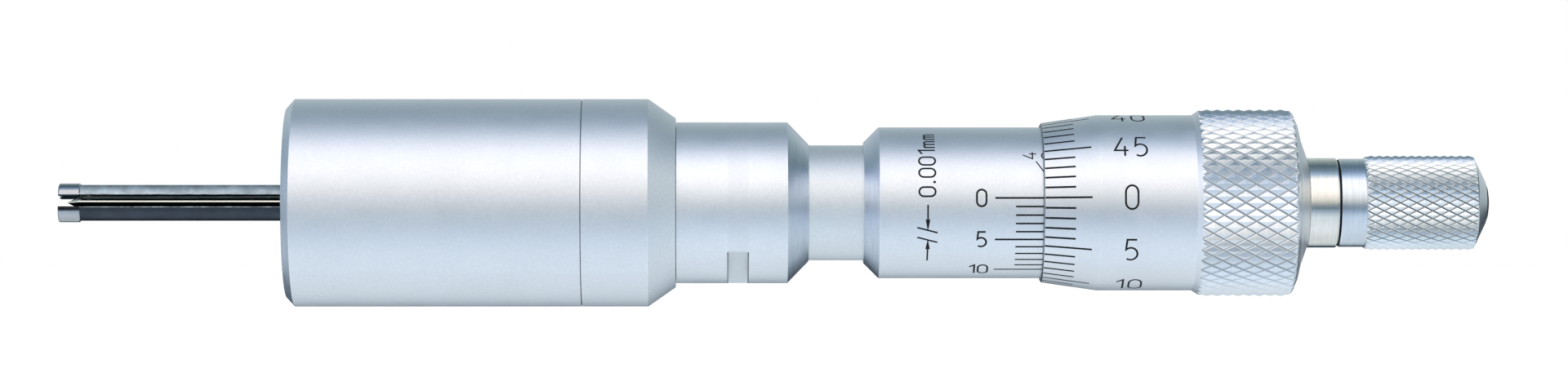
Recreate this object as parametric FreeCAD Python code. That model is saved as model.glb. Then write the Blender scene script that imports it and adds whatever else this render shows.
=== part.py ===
import FreeCAD
import Part
import math
import os

os.makedirs("parts", exist_ok=True)

Vec = FreeCAD.Vector

# Two-point inside micrometer for small bores, 3 to 4 mm, drawn at its upper limit of 4 mm.
# Lengths are in mm. Stations are measured along the spindle from the barrel's front face.
# The frame's origin is on the spindle axis, halfway along the part of the barrel that a clamp holds.
grip_station = 19.0

# Fits
running_clearance = 0.05
seat_clearance = 0.02
pin_clearance = 0.03
thimble_clearance = 0.10
press_gap = 0.01
cut_over = 1.0

# Measuring head: two arms split by a slot, which a cone on the needle spreads
bore_max = 4.0
bore_travel = 1.0
slot_tilt_deg = 10.0
slot_half = 0.62
jaw_front = -23.35
jaw_back = -21.12
jaw_r = 1.5
jaw_rounding = 0.2
jaw_back_edge = 0.08
jaw_groove_r = 0.8
arm_half_span = 1.85
arm_r = 1.37
arm_shank_front = 4.2
arm_shank_back = 14.0
arm_shank_outer = 2.9
arm_shank_half = 1.5
arm_root_overlap = 0.6
seat_length = 2.4
pivot_station = 12.0
pivot_offset = 1.7
pivot_r = 0.5
pivot_half_length = 5.5
needle_r = 0.6
needle_tip = -22.46
needle_tip_flat_r = 0.04
cone_ratio = 2.0

# Barrel: front shell and rear shell
barrel_r = 10.65
barrel_chamfer = 0.84
barrel_face_edge = 0.12
barrel_hole_r = 2.15
barrel_wall = 1.65
barrel_bore_r = barrel_r - barrel_wall
front_wall = 3.0
barrel_seam = 30.26
seam_edge = 0.06
barrel_back = 37.05
barrel_cone_end = 39.86
barrel_cone_end_r = 8.68
spigot_front = 24.3
spigot_lip = 1.2
spigot_lip_depth = 1.2
spigot_wall = 1.78
rear_bore_r = barrel_bore_r - seat_clearance - spigot_wall
spigot_lip_r = rear_bore_r - spigot_lip_depth

# Head block and what holds it
block_back = 18.0
block_slot_half = 3.7
block_slot_back = 15.0
clamp_ring_back = 21.0
clamp_ring_bore_r = 3.2
clamp_notch_depth = 1.2
clamp_notch_width = 2.0
clamp_notch_reach = 2.78
leaf_thickness = 0.3
leaf_width = 2.4
leaf_front = 5.0
leaf_back = 10.5
leaf_flat = 2.0

# Needle drive
plunger_front = 24.0
plunger_back = 34.0
plunger_r = 2.9
plunger_edge = 0.3
plunger_tail_length = 0.8
plunger_tail_drop = 1.0
needle_seat_depth = 6.0
bush_back = 33.0
spring_r = 2.3
spring_wire_r = 0.3
spring_turns = 4.5

coil_steps = 16
coil_sides = 6

# Coupling collar
collar_r = 8.26
collar_spigot_front = 35.0
collar_spigot_r = rear_bore_r - running_clearance
collar_straight_end = 51.30
collar_end = 53.44
collar_end_edge = 0.1
flat_front = 45.20
flat_width = 2.05
flat_from_axis = 7.29
flat_angle_deg = 65.0

# Inner body, whose neck shows between the collar and the sleeve
body_r = 5.9
flange_room = 0.2
body_flange_r = rear_bore_r - flange_room
body_end = 92.8
body_end_edge = 0.5
slit_front = 83.0
slit_width = 0.6

# Graduated sleeve and the nut behind it
sleeve_front = 59.08
sleeve_front_edge = 0.3
sleeve_front_r = body_r + sleeve_front_edge
sleeve_shoulder = 60.63
sleeve_wall = 1.85
sleeve_r = body_r + sleeve_wall
sleeve_end = 88.0
nut_wall = 1.3
nut_r = body_r + nut_wall
nut_end = 92.0
nut_notch_depth = 1.5
nut_notch_width = 1.4

# Spindle
spindle_r = 3.0
spindle_front = 34.05
spindle_nose = 1.2
spindle_shoulder = 97.0
spindle_stub_r = 2.6
spindle_end = 106.4

# Thimble
thimble_front = 77.28
thimble_bore_r = sleeve_r + thimble_clearance
thimble_lip = 0.32
thimble_front_r = thimble_bore_r + thimble_lip
thimble_bevel_end = 82.98
thimble_bevel_rise = 0.83
thimble_r = thimble_front_r + thimble_bevel_rise
thimble_straight_end = 92.71
grip_front = 93.55
grip_rise = 0.6
grip_r = thimble_r + grip_rise
grip_knurl_front = 93.75
grip_knurl_pitch = 2.17
grip_row_count = 8
grip_start_count = 46
grip_knurl_depth = 0.34
grip_run_out = 0.15
crest_drop = 0.01
grip_end_drop = 0.5
grip_end_r = grip_r - grip_end_drop
grip_edge_end = 103.44
grip_edge_drop = 1.3
grip_edge_r = grip_r - grip_edge_drop
thimble_back_bend = 103.82
thimble_back_rise = 2.1
thimble_end = 104.57

# Ratchet stop
neck_r = 4.6
neck_end = 107.65
neck_edge = 0.12
boss_r = 3.45
boss_end = 111.0
tooth_height = 0.5
tooth_inner_r = 2.0
tooth_rim = 0.15
tooth_share = 0.96
tooth_root = 0.1
tooth_count = 12
tooth_gap = 0.05
stem_r = 1.5
stem_end = 121.9
hub_front = 107.85
hub_r = 4.53
hub_end = 110.39
hub_edge = 0.15
knob_knurl_front = 110.80
knob_knurl_pitch = 1.66
knob_row_count = 13
knob_start_count = 35
knob_knurl_depth = 0.24
knob_run_out = 0.1
knob_r = 4.86
knob_end_r = 4.5
knob_edge_end = 121.92
knob_edge_r = 4.35
knob_cone_r = 2.12
knob_rim = 0.1
knob_end = 122.97
knob_cavity_end = 119.0
knob_counterbore = 121.8
disc_back = 113.5
disc_r = 3.48
click_spring_r = 2.7
click_wire_r = 0.25
click_turns = 4.5
screw_head_r = 2.05
screw_apex = 123.34
screw_sunk = 0.05
screw_tip_gap = 0.5
screw_shank_r = 0.9
screw_shank_front = 117.5
screw_slot_width = 0.5
screw_slot_floor = 122.95

# Directions across the head: the arms open along the first, the slot runs along the second
tilt = math.radians(slot_tilt_deg)
opening_dir = Vec(0, math.sin(tilt), math.cos(tilt))
slot_dir = Vec(0, -math.cos(tilt), math.sin(tilt))
axis_dir = Vec(1, 0, 0)


def save(shape, name):
    placed = shape.copy()
    placed.translate(Vec(-grip_station, 0, 0))
    placed.exportStep("parts/" + name + ".step")
    print(name, placed.ShapeType, len(placed.Solids), placed.isValid(), round(placed.Volume, 2))


def turned(points):
    wire = Part.makePolygon([Vec(x, 0, r) for x, r in points] + [Vec(points[0][0], 0, points[0][1])])
    return Part.Face(wire).revolve(Vec(0, 0, 0), axis_dir, 360).removeSplitter()


def tube(x0, x1, outer, inner):
    return turned([(x0, inner), (x0, outer), (x1, outer), (x1, inner)])


def rod(x0, x1, r):
    return Part.makeCylinder(r, x1 - x0, Vec(x0, 0, 0), axis_dir)


def rims_at(shape, station):
    """The full-circle edges that lie at a station."""
    rims = [e for e in shape.Edges if len(e.Vertexes) == 1]
    return [e for e in rims if abs(e.BoundBox.Center.x - station) < 1e-6]


def across(x0, x1, n0, n1, d0, d1):
    """A block set square to the slot: n is along the opening direction, d along the slot."""
    corner = Vec(x0, 0, 0) + opening_dir * n0 + slot_dir * d0
    along = axis_dir * (x1 - x0)
    up = opening_dir * (n1 - n0)
    over = slot_dir * (d1 - d0)
    face = Part.Face(Part.makePolygon([corner, corner + along, corner + along + up, corner + up, corner]))
    return face.extrude(over)


def diamond_grip(front_points, back_points, start, pitch, rows, starts, outer, depth, end_drop):
    """A turned piece whose grip is a lattice of pyramids, closed by turned faces in front and behind."""
    floor = outer - depth
    faces = []

    def point(row, step):
        angle = 2 * math.pi * (step / 2.0) / starts
        peak = (row + step) % 2 == 0
        r = floor
        if peak:
            r = outer
            if row in (0, rows):
                r = outer - end_drop
        return Vec(start + row * pitch / 2.0, r * math.sin(angle), r * math.cos(angle))

    grid = [[point(row, step) for step in range(2 * starts)] for row in range(rows + 1)]

    def face(a, b, c):
        faces.append(Part.Face(Part.makePolygon([a, b, c, a])))

    for row in range(rows):
        for step in range(2 * starts):
            nxt = (step + 1) % (2 * starts)
            a = grid[row][step]
            b = grid[row][nxt]
            c = grid[row + 1][nxt]
            d = grid[row + 1][step]
            if (row + step) % 2 == 0:
                face(a, b, d)
                face(b, c, d)
            else:
                face(a, b, c)
                face(a, c, d)

    for points, row in ((front_points, 0), (back_points, rows)):
        wire = Part.makePolygon([Vec(x, 0, r) for x, r in points])
        shell = wire.revolve(Vec(0, 0, 0), axis_dir, 360)
        faces.extend(shell.Faces)
        x, r = points[-1] if row == 0 else points[0]
        rim = [e for e in shell.Edges if len(e.Vertexes) == 1
               and abs(e.Curve.Center.x - x) < 1e-6 and abs(e.Curve.Radius - r) < 1e-6][0]
        border = Part.makePolygon(grid[row] + [grid[row][0]])
        if r > outer - 1e-9:
            ring = Part.Face([Part.Wire(rim), border])
        else:
            ring = Part.Face([border, Part.Wire(rim)])
        faces.append(ring)
    skin = Part.makeCompound(faces)
    skin.sewShape()
    solid = Part.makeSolid(skin.Shells[0])
    solid.fix(1e-5, 1e-5, 1e-4)
    return solid


def coil(x0, x1, r, wire_r, turns):
    """A coil spring between two seats, faceted along its turns and around its wire."""
    steps = int(turns * coil_steps)
    rise = (x1 - x0 - 2 * wire_r) / steps
    rings = []
    for k in range(steps + 1):
        angle = 2 * math.pi * k / coil_steps
        out = Vec(0, math.sin(angle), math.cos(angle))
        centre = out * r + axis_dir * (x0 + wire_r + k * rise)
        ring = []
        for j in range(coil_sides):
            side = 2 * math.pi * j / coil_sides
            ring.append(centre + out * (wire_r * math.cos(side)) + axis_dir * (wire_r * math.sin(side)))
        rings.append(ring)
    faces = []
    for first, second in zip(rings, rings[1:]):
        for j in range(coil_sides):
            a, b = first[j], first[(j + 1) % coil_sides]
            c, d = second[(j + 1) % coil_sides], second[j]
            faces.append(Part.Face(Part.makePolygon([a, b, c, a])))
            faces.append(Part.Face(Part.makePolygon([a, c, d, a])))
    for ring in (rings[0], rings[-1]):
        faces.append(Part.Face(Part.makePolygon(ring + [ring[0]])))
    skin = Part.makeCompound(faces)
    skin.sewShape()
    solid = Part.makeSolid(skin.Shells[0])
    solid.fix(1e-5, 1e-5, 1e-4)
    return solid


# Front shell of the barrel, with the hole that the arms pass through
front_shell = turned([
    (0, barrel_hole_r),
    (0, barrel_r - barrel_chamfer - barrel_face_edge),
    (barrel_face_edge / 2, barrel_r - barrel_chamfer - barrel_face_edge / 4),
    (barrel_chamfer, barrel_r),
    (barrel_seam - seam_edge, barrel_r),
    (barrel_seam, barrel_r - seam_edge),
    (barrel_seam, barrel_bore_r),
    (front_wall, barrel_bore_r),
    (front_wall, barrel_hole_r),
])
save(front_shell, "front_shell")

# Rear shell: its spigot goes into the front shell, and its lip carries the guide bush
rear_shell = turned([
    (spigot_front, spigot_lip_r),
    (spigot_front, barrel_bore_r - seat_clearance),
    (barrel_seam, barrel_bore_r - seat_clearance),
    (barrel_seam, barrel_r - seam_edge),
    (barrel_seam + seam_edge, barrel_r),
    (barrel_back, barrel_r),
    (barrel_cone_end, barrel_cone_end_r),
    (barrel_cone_end, rear_bore_r),
    (spigot_front + spigot_lip, rear_bore_r),
    (spigot_front + spigot_lip, spigot_lip_r),
])
save(rear_shell, "rear_shell")

# Head block: the arms hang on two pins across its slot
block = rod(front_wall, block_back, barrel_bore_r - seat_clearance)
slot = across(front_wall - cut_over, block_slot_back, -block_slot_half, block_slot_half,
              -arm_shank_half - running_clearance, arm_shank_half + running_clearance)
needle_guide = rod(block_slot_back - cut_over, block_back + cut_over, needle_r + running_clearance)
block = block.cut(slot).cut(needle_guide)
for side in (1, -1):
    centre = Vec(pivot_station, 0, 0) + opening_dir * (side * pivot_offset)
    start = centre - slot_dir * pivot_half_length
    block = block.cut(Part.makeCylinder(pivot_r, 2 * pivot_half_length, start, slot_dir))
save(block.removeSplitter(), "head_block")

# Clamp ring behind the head block
clamp_ring = turned([
    (block_back, clamp_ring_bore_r),
    (block_back, barrel_bore_r - seat_clearance),
    (clamp_ring_back, barrel_bore_r - seat_clearance),
    (clamp_ring_back, clamp_ring_bore_r),
])
notch_floor = barrel_bore_r - seat_clearance - clamp_notch_reach
for turn in (0, 180):
    notch = Part.makeBox(clamp_notch_depth, clamp_notch_width, clamp_notch_reach + cut_over,
                         Vec(clamp_ring_back - clamp_notch_depth, -clamp_notch_width / 2, notch_floor))
    notch.rotate(Vec(0, 0, 0), axis_dir, turn)
    clamp_ring = clamp_ring.cut(notch)
save(clamp_ring, "clamp_ring")

# Arms, jaws, pivot pins and leaf springs, the upper one of each and then the lower
half_room = 2 * arm_shank_outer
pivot_arm = pivot_station - (jaw_front + jaw_back) / 2.0
swing_rate = bore_travel / 2.0 / pivot_arm
groove_r = needle_r + running_clearance
groove_front = jaw_back - cut_over
groove_back = arm_shank_back + cut_over
for side, name in ((1, "upper"), (-1, "lower")):
    rod_centre = opening_dir * (side * (arm_half_span - arm_r))
    finger = Part.makeCylinder(arm_r, arm_shank_front + arm_root_overlap - jaw_back,
                               Vec(jaw_back, 0, 0) + rod_centre, axis_dir)
    shank = across(arm_shank_front, arm_shank_back, 0, side * arm_shank_outer,
                   -arm_shank_half, arm_shank_half)
    keep = across(jaw_front - cut_over, groove_back, side * slot_half, side * half_room,
                  -half_room, half_room)
    arm = finger.fuse(shank).common(keep)
    # Room for the needle when the arm has swung in
    shift_tip = swing_rate * (pivot_station - groove_front)
    groove_start = Vec(groove_front, 0, 0) + opening_dir * (side * shift_tip)
    shift_back = swing_rate * (pivot_station - groove_back)
    groove_end = Vec(groove_back, 0, 0) + opening_dir * (side * shift_back)
    groove_line = groove_end - groove_start
    groove = Part.makeCylinder(groove_r, groove_line.Length, groove_start, groove_line)
    a = Vec(groove_front, 0, 0) - slot_dir * groove_r
    wedge_wire = Part.makePolygon([
        a, a + opening_dir * (side * shift_tip),
        Vec(pivot_station, 0, 0) - slot_dir * groove_r, a])
    wedge = Part.Face(wedge_wire).extrude(slot_dir * (2 * groove_r))
    arm = arm.cut(groove).cut(wedge).cut(rod(groove_front, groove_back, groove_r))
    # Seat for the needle's cone
    seat_start = needle_tip - running_clearance
    seat = Part.makeCone(0, seat_length / cone_ratio, seat_length, Vec(seat_start, 0, 0), axis_dir)
    arm = arm.cut(seat)
    pin_centre = Vec(pivot_station, 0, 0) + opening_dir * (side * pivot_offset)
    hole = Part.makeCylinder(pivot_r + pin_clearance, 2 * half_room,
                             pin_centre - slot_dir * half_room, slot_dir)
    arm = arm.cut(hole).removeSplitter()
    save(arm, name + "_arm")

    pin = Part.makeCylinder(pivot_r, 2 * pivot_half_length,
                            pin_centre - slot_dir * pivot_half_length, slot_dir)
    save(pin, name + "_pivot_pin")

    jaw_centre = opening_dir * (side * (bore_max / 2.0 - jaw_r))
    jaw = Part.makeCylinder(jaw_r, jaw_back - jaw_front, Vec(jaw_front, 0, 0) + jaw_centre, axis_dir)
    jaw = jaw.makeFillet(jaw_rounding, rims_at(jaw, jaw_front))
    jaw = jaw.makeChamfer(jaw_back_edge, rims_at(jaw, jaw_back))
    # A shallow groove lets the needle's cone in when the jaws are closed
    jaw = jaw.common(keep).cut(rod(jaw_front - cut_over, jaw_back + cut_over, jaw_groove_r))
    save(jaw.removeSplitter(), name + "_jaw")

    # Leaf spring: one end lies in the block, the bowed middle presses the arm onto the needle
    seat_n = block_slot_half
    press_n = arm_shank_outer
    mid = (leaf_front + leaf_back) / 2.0
    path = [
        (leaf_front, seat_n - leaf_thickness),
        (mid - leaf_flat / 2.0, press_n),
        (mid + leaf_flat / 2.0, press_n),
        (leaf_back, seat_n - leaf_thickness),
        (leaf_back, seat_n),
        (mid + leaf_flat / 2.0, press_n + leaf_thickness),
        (mid - leaf_flat / 2.0, press_n + leaf_thickness),
        (leaf_front, seat_n),
    ]
    nodes = [Vec(x, 0, 0) + opening_dir * (side * n) - slot_dir * (leaf_width / 2.0) for x, n in path]
    leaf = Part.Face(Part.makePolygon(nodes + [nodes[0]])).extrude(slot_dir * leaf_width)
    save(leaf, name + "_leaf_spring")

# Needle, with the cone that spreads the jaws
cone_length = (needle_r - needle_tip_flat_r) * cone_ratio
needle = turned([
    (needle_tip, 0),
    (needle_tip, needle_tip_flat_r),
    (needle_tip + cone_length, needle_r),
    (plunger_front + needle_seat_depth, needle_r),
    (plunger_front + needle_seat_depth, 0),
])
save(needle, "needle")

# Plunger that carries the needle, and the bush that guides it
plunger = turned([
    (plunger_front, needle_r + press_gap),
    (plunger_front, plunger_r - plunger_edge),
    (plunger_front + plunger_edge, plunger_r),
    (plunger_back - plunger_tail_length, plunger_r),
    (plunger_back, plunger_r - plunger_tail_drop),
    (plunger_back, 0),
    (plunger_front + needle_seat_depth, 0),
    (plunger_front + needle_seat_depth, needle_r + press_gap),
])
save(plunger, "plunger")
save(tube(spigot_front + spigot_lip, bush_back, rear_bore_r - seat_clearance, plunger_r + running_clearance),
     "guide_bush")
save(coil(block_back, plunger_front - seat_clearance, spring_r, spring_wire_r, spring_turns), "return_spring")

# Inner body: flange at the front, neck, and a slit end that the nut closes on the spindle
inner_body = turned([
    (bush_back, spindle_r + running_clearance),
    (bush_back, body_flange_r),
    (collar_spigot_front, body_flange_r),
    (collar_spigot_front, body_r),
    (body_end - body_end_edge, body_r),
    (body_end, body_r - body_end_edge),
    (body_end, spindle_r + running_clearance),
])
for turn in (0, 60, 120):
    slit = Part.makeBox(body_end - slit_front + cut_over, slit_width, 4 * body_r,
                        Vec(slit_front, -slit_width / 2, -2 * body_r))
    slit.rotate(Vec(0, 0, 0), axis_dir, turn)
    inner_body = inner_body.cut(slit)
save(inner_body, "inner_body")

# Coupling collar with two milled spanner flats
collar = turned([
    (collar_spigot_front, body_r + seat_clearance),
    (collar_spigot_front, collar_spigot_r),
    (barrel_cone_end, collar_spigot_r),
    (barrel_cone_end, collar_r),
    (collar_straight_end, collar_r),
    (collar_end, body_r + collar_end_edge),
    (collar_end, body_r + seat_clearance),
])
for side in (1, -1):
    flat = Part.makeBox(flat_width, 2 * collar_r, collar_r, Vec(flat_front, -collar_r, flat_from_axis))
    flat.rotate(Vec(0, 0, 0), axis_dir, 90 + flat_angle_deg + (0 if side > 0 else 180))
    collar = collar.cut(flat)
save(collar, "coupling_collar")

# Graduated sleeve
sleeve = turned([
    (sleeve_front, body_r + seat_clearance),
    (sleeve_front, sleeve_front_r),
    (sleeve_shoulder, sleeve_r),
    (sleeve_end, sleeve_r),
    (sleeve_end, body_r + seat_clearance),
])
save(sleeve, "graduated_sleeve")

# Adjusting nut behind the sleeve
nut = tube(sleeve_end, nut_end, nut_r, body_r + seat_clearance)
for side in (0, 90):
    notch = Part.makeBox(nut_notch_depth + cut_over, nut_notch_width, 4 * nut_r,
                         Vec(nut_end - nut_notch_depth, -nut_notch_width / 2, -2 * nut_r))
    notch.rotate(Vec(0, 0, 0), axis_dir, side)
    nut = nut.cut(notch)
save(nut, "adjusting_nut")

# Spindle
spindle = turned([
    (spindle_front, 0),
    (spindle_front, spindle_r - spindle_nose),
    (spindle_front + spindle_nose, spindle_r),
    (spindle_shoulder, spindle_r),
    (spindle_shoulder, spindle_stub_r),
    (spindle_end, spindle_stub_r),
    (spindle_end, 0),
])
save(spindle, "spindle")

# Thimble, with its diamond grip
knurl_back = grip_knurl_front + grip_row_count * grip_knurl_pitch / 2.0
thimble = diamond_grip(
    [
        (spindle_shoulder, spindle_stub_r + seat_clearance),
        (spindle_shoulder, thimble_bore_r),
        (thimble_front, thimble_bore_r),
        (thimble_front, thimble_front_r),
        (thimble_bevel_end, thimble_r),
        (thimble_straight_end, thimble_r),
        (grip_front, grip_r),
        (grip_knurl_front, grip_r),
    ],
    [
        (knurl_back, grip_end_r),
        (grip_edge_end, grip_edge_r),
        (thimble_back_bend, neck_r + thimble_back_rise),
        (thimble_end, neck_r),
        (thimble_end, spindle_stub_r + seat_clearance),
        (spindle_shoulder, spindle_stub_r + seat_clearance),
    ],
    grip_knurl_front, grip_knurl_pitch, grip_row_count, grip_start_count,
    grip_r - crest_drop, grip_knurl_depth, grip_run_out)
save(thimble, "thimble")

# Ratchet base: polished neck, boss with face teeth, and the stem that the knob turns on
base = turned([
    (thimble_end, spindle_stub_r + seat_clearance),
    (thimble_end, neck_r - neck_edge),
    (thimble_end + neck_edge, neck_r),
    (neck_end - neck_edge, neck_r),
    (neck_end, neck_r - neck_edge),
    (neck_end, boss_r),
    (boss_end, boss_r),
    (boss_end, stem_r),
    (stem_end, stem_r),
    (stem_end, screw_shank_r + seat_clearance),
    (screw_shank_front, screw_shank_r + seat_clearance),
    (screw_shank_front, 0),
    (spindle_end + thimble_clearance, 0),
    (spindle_end + thimble_clearance, spindle_stub_r + seat_clearance),
])


def teeth(root_x, crest_x, inner, outer):
    """A ring of face teeth with one steep side each."""
    shapes = []
    step = 2 * math.pi / tooth_count
    for k in range(tooth_count):
        start = k * step
        end = start + step * tooth_share
        corners = []
        for r in (inner, outer):
            corners.append([
                Vec(root_x, r * math.sin(start), r * math.cos(start)),
                Vec(root_x, r * math.sin(end), r * math.cos(end)),
                Vec(crest_x, r * math.sin(start), r * math.cos(start)),
            ])
        (a, b, c), (d, e, f) = corners
        faces = [
            Part.Face(Part.makePolygon([a, b, c, a])),
            Part.Face(Part.makePolygon([d, e, f, d])),
            Part.Face(Part.makePolygon([a, b, e, a])),
            Part.Face(Part.makePolygon([a, e, d, a])),
            Part.Face(Part.makePolygon([b, c, f, b])),
            Part.Face(Part.makePolygon([b, f, e, b])),
            Part.Face(Part.makePolygon([c, a, d, c])),
            Part.Face(Part.makePolygon([c, d, f, c])),
        ]
        shell = Part.makeShell(faces)
        solid = Part.makeSolid(shell)
        if solid.Volume < 0:
            solid.reverse()
        shapes.append(solid)
    return shapes


base_teeth = teeth(boss_end - tooth_root, boss_end + tooth_height, tooth_inner_r, boss_r - tooth_rim)
base = base.multiFuse(base_teeth)
save(base, "ratchet_base")

# Ratchet disc, kept just clear of the base's teeth
disc_front = boss_end + tooth_height + tooth_gap
disc = tube(disc_front + tooth_height, disc_back, disc_r, stem_r + running_clearance)
disc_teeth = teeth(disc_front + tooth_height + tooth_root, disc_front, tooth_inner_r, boss_r - tooth_rim)
disc = disc.multiFuse(disc_teeth)
save(disc, "ratchet_disc")
save(coil(disc_back, knob_cavity_end, click_spring_r, click_wire_r, click_turns), "ratchet_spring")

# Ratchet knob, with its own diamond grip
knob_knurl_back = knob_knurl_front + knob_row_count * knob_knurl_pitch / 2.0
knob = diamond_grip(
    [
        (knob_cavity_end, stem_r + running_clearance),
        (knob_cavity_end, boss_r + running_clearance),
        (hub_front, boss_r + running_clearance),
        (hub_front, hub_r - hub_edge),
        (hub_front + hub_edge, hub_r),
        (hub_end, hub_r),
        (knob_knurl_front, knob_r),
    ],
    [
        (knob_knurl_back, knob_end_r),
        (knob_edge_end, knob_edge_r),
        (knob_end, knob_cone_r + knob_rim),
        (knob_end, knob_cone_r),
        (knob_counterbore, knob_cone_r),
        (knob_counterbore, stem_r + running_clearance),
        (knob_cavity_end, stem_r + running_clearance),
    ],
    knob_knurl_front, knob_knurl_pitch, knob_row_count, knob_start_count,
    knob_r - crest_drop, knob_knurl_depth, knob_run_out)
save(knob, "ratchet_knob")

# End screw with a low domed head
head_front = stem_end
dome_start = knob_end - screw_sunk
rise = screw_apex - dome_start
dome = [(dome_start + rise * math.sin(math.radians(a)), screw_head_r * math.cos(math.radians(a)))
        for a in (0, 20, 40, 60, 75)]
screw = turned(
    [(screw_shank_front + screw_tip_gap, 0), (screw_shank_front + screw_tip_gap, screw_shank_r),
     (head_front, screw_shank_r), (head_front, screw_head_r)]
    + dome + [(screw_apex, 0)])
slot_cut = Part.makeBox(cut_over, screw_slot_width, 4 * screw_head_r,
                        Vec(screw_slot_floor, -screw_slot_width / 2, -2 * screw_head_r))
save(screw.cut(slot_cut), "end_screw")
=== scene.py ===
import bmesh
import bpy
import math
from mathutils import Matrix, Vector


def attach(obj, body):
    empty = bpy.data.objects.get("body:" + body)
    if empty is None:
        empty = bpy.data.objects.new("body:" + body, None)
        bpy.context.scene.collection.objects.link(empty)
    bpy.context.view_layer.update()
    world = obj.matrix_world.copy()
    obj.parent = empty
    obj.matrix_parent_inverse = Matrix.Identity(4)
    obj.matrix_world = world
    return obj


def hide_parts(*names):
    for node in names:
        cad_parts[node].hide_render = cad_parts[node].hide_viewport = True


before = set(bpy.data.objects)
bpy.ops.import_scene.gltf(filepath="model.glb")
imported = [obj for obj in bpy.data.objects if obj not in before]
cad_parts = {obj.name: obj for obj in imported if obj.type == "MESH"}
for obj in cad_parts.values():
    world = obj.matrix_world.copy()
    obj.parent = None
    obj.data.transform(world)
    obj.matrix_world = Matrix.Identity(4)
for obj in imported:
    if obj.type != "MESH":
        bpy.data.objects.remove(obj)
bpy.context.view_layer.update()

MM = 0.001
TAU = 2 * math.pi
GRIP = 19.0  # the frame's origin lies this far behind the barrel's front face

# Sizes in mm. Stations are measured from the barrel's front face, as in the CAD model.

# Barrel
FRONT_WALL = 3.0
ARM_HOLE_R = 2.15
FACE_R = 9.72
FRONT_CHAMFER_END = 0.84
BARREL_R = 10.65
BARREL_BORE_R = 9.0
SEAM = 30.26
SEAM_HALF = 0.045
SEAM_FLOOR = BARREL_R - 0.9
REAR_SPIGOT_R = 8.98
REAR_LIP_FRONT = 24.3
REAR_LIP_BACK = 25.5
REAR_LIP_R = 6.0
REAR_CONE_START = 37.05
REAR_END = 39.86
REAR_END_R = 8.68
REAR_BORE_R = 7.22

# Coupling collar
COLLAR_SPIGOT_START = 35.0
COLLAR_SPIGOT_R = 7.15
COLLAR_FRONT = 39.91
COLLAR_R = 8.26
COLLAR_CHAMFER_START = 51.28
COLLAR_END = 53.44
COLLAR_END_R = 6.02
COLLAR_BORE_R = 5.92
FLAT_FROM_AXIS = 7.29
FLAT_DEG = (-65.0, 115.0)
FLAT_HALF_DEG = math.degrees(math.acos(FLAT_FROM_AXIS / COLLAR_R))
FLAT_FRONT = 45.12
FLAT_BACK = 47.33
FLAT_WALL = 0.12  # how far each end wall of a flat leans
FLAT_ROW = 0.02  # a narrow row beside each wall, which keeps the shading crisp

# Graduated sleeve
SLEEVE_R = 7.75
SLEEVE_FRONT = 59.08
SLEEVE_FRONT_R = 6.2
SLEEVE_SHOULDER = 60.63
SLEEVE_END = 88.0
SLEEVE_BORE_R = 5.92

# Thimble
THIMBLE_FRONT = 77.28
THIMBLE_BEVEL_END = 82.98
THIMBLE_FRONT_R = 8.17
THIMBLE_R = 9.0
THIMBLE_BORE_R = 7.85
THIMBLE_BORE_END = 97.0
THIMBLE_LIP_R = 8.02
THIMBLE_EDGE_END = 103.46
THIMBLE_EDGE_R = 8.22
THIMBLE_BACK_BEND = 103.82
THIMBLE_BACK_R = 6.70
THIMBLE_END = 104.57
THIMBLE_END_R = 4.66
THIMBLE_HOLE_R = 2.62
GRIP_R = 9.6
SHOULDER_FRONT = 92.77
GRIP_FRONT = 93.71
GRIP_END = 103.15
GRIP_END_R = 8.80
GRIP_PITCH = 2.17
GRIP_STARTS = 46
GRIP_DEPTH = 0.29
GRIP_ROUNDING = (102.15, 1.05, 0.78)  # where the grip's end starts to round, over what length and depth

# Ratchet knob, and the dark ring in front of it that stands in for the gap's shadow
HUB_FRONT = 107.85
HUB_R = 4.53
HUB_END = 110.39
KNOB_R = 4.86
KNOB_FRONT = 110.80
KNOB_GRIP_END = 121.76
KNOB_GRIP_END_R = 4.47
KNOB_PITCH = 1.66
KNOB_STARTS = 35
KNOB_DEPTH = 0.25
KNOB_ROUNDING = (121.2, 0.75, 0.42)
KNOB_EDGE_END = 121.93
KNOB_EDGE_R = 4.33
KNOB_END = 122.97
KNOB_FLOOR = 121.8
KNOB_CAVITY_END = 119.0
KNOB_CAVITY_R = 3.5
KNOB_STEM_R = 1.56
KNOB_MOUTH_R = 2.12
GAP_RING_FRONT = 107.67
GAP_RING_BACK = 107.83
GAP_RING_R = 4.42
GAP_RING_BORE_R = 3.47

# Diamond grips
KNURL_STEPS = 10  # mesh steps across one diamond, both ways
GROOVE_BITE = 0.14  # extra depth of the fine line at the bottom of each groove
CREST_DROP = 0.01
CREST_SHARE = 0.85  # a crest is worn from this share of the way between two grooves
CROSSING_SHADE = 0.45  # the second set of grooves gets this share of the first set's painted shade
KNURL_SHARP = 9.0  # degrees between faces from which an edge of a grip is drawn sharp
GRIP_START = GRIP_FRONT - 2 * GRIP_PITCH / KNURL_STEPS
KNOB_START = KNOB_FRONT - 2 * KNOB_PITCH / KNURL_STEPS

# The slot between the two arms
SLOT_TILT = math.radians(10.0)
SLOT_HALF = 0.62

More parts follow.
